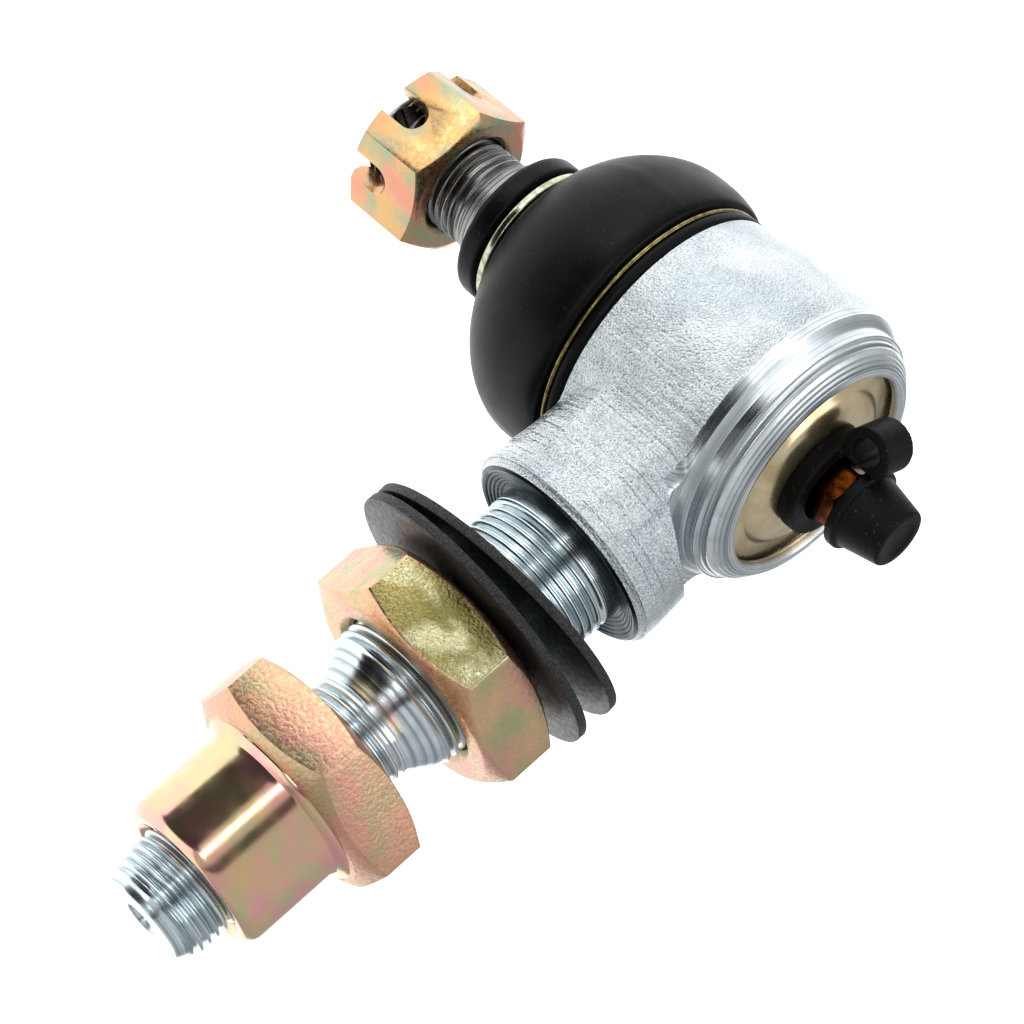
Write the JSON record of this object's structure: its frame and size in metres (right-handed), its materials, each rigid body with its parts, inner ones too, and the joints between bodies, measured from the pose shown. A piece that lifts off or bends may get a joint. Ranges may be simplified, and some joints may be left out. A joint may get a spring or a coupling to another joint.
{
  "type": "tie rod end",
  "caption": "Forged tie rod end: greasable ball socket with cover and capped nipple, rubber dust boot, tapered ball stud with castle nut, threaded shank with lock washers and nuts.",
  "frame": {"origin": "centre of the ball", "axes": "+Z along the ball stud's axis towards the grease nipple, so the stud points down; +X along the threaded shank towards its free end"},
  "size_m": [0.143, 0.0508, 0.1076],
  "materials": {
    "zinc_forging": "bright zinc over a grainy forged skin",
    "stud_steel": "dark plain steel",
    "yellow_zinc": "yellow zinc, satin, with a pink and green tint",
    "jam_zinc": "yellow zinc with scratches across the faces",
    "sleeve_zinc": "yellow zinc, semi-bright",
    "acetal": "plain moulded",
    "spring_steel": "plain spring steel",
    "cover_zinc": "yellow zinc pressing",
    "nipple_brass": "dull copper brown",
    "cap_rubber": "satin black",
    "boot_rubber": "satin black",
    "ring_zinc": "pale yellow zinc",
    "black_oxide": "black oxide, slightly oily"
  },
  "bodies": {
    "rod_end": {"housing": "zinc_forging", "ball_race": "acetal", "cover_plate": "cover_zinc", "grease_nipple": "nipple_brass", "cap_strap": "cap_rubber", "nipple_spring": "spring_steel", "preload_spring": "spring_steel"},
    "boot_base": {"dust_boot": "boot_rubber", "boot_lower_ring": "ring_zinc"},
    "boot_collar": {"boot_upper_ring": "ring_zinc"},
    "stud": {"ball_stud": "stud_steel"},
    "castle_nut": {"castle_nut": "yellow_zinc"},
    "washers": {"lock_washer_inner": "black_oxide", "lock_washer_outer": "black_oxide"},
    "jam_nut": {"jam_nut": "jam_zinc"},
    "sleeve_nut": {"sleeve_nut": "sleeve_zinc"},
    "cap": {"nipple_cap": "cap_rubber"},
    "valve": {"check_ball": "spring_steel"},
    "upper_seat": {"pressure_seat": "acetal"}
  },
  "joints": [
    {"name": "boot_turn", "type": "hinge", "parent": "rod_end", "child": "boot_base", "pos_m": [0, 0, 0], "axis": [0, 0, 1], "continuous": true},
    {"name": "stud_swing", "type": "hinge", "parent": "boot_base", "child": "boot_collar", "pos_m": [0, 0, 0], "axis": [0, 1, 0], "range_deg": [-18, 18], "deforming": ["dust_boot"]},
    {"name": "stud_spin", "type": "hinge", "parent": "boot_collar", "child": "stud", "pos_m": [0, 0, 0], "axis": [0, 0, 1], "continuous": true},
    {"name": "castle_nut_travel", "type": "slide", "parent": "stud", "child": "castle_nut", "axis": [0, 0, -1], "range_m": [-0.006, 0.014]},
    {"name": "washer_travel", "type": "slide", "parent": "rod_end", "child": "washers", "axis": [1, 0, 0], "range_m": [-0.0082, 0.003]},
    {"name": "jam_nut_turn", "type": "hinge", "parent": "washers", "child": "jam_nut", "pos_m": [0.06, 0, 0], "axis": [1, 0, 0], "range_deg": [-1990, 740]},
    {"name": "sleeve_nut_travel", "type": "slide", "parent": "rod_end", "child": "sleeve_nut", "axis": [1, 0, 0], "range_m": [-0.006, 0.008]},
    {"name": "cap_pull", "type": "slide", "parent": "rod_end", "child": "cap", "axis": [0, 0, 1], "range_m": [0, 0.01], "deforming": ["cap_strap"]},
    {"name": "valve_open", "type": "slide", "parent": "rod_end", "child": "valve", "axis": [0, 0, -1], "range_m": [0, 0.0008], "stiffness_N_per_m": 50, "springref_m": -0.001, "deforming": ["nipple_spring"]},
    {"name": "seat_float", "type": "slide", "parent": "rod_end", "child": "upper_seat", "axis": [0, 0, 1], "range_m": [0, 0.0003], "stiffness_N_per_m": 2000, "springref_m": -0.0005, "deforming": ["preload_spring"]}
  ],
  "couplings": [
    {"joint": "jam_nut_turn", "follows": "washer_travel", "rad_per_m": 4188.8}
  ]
}
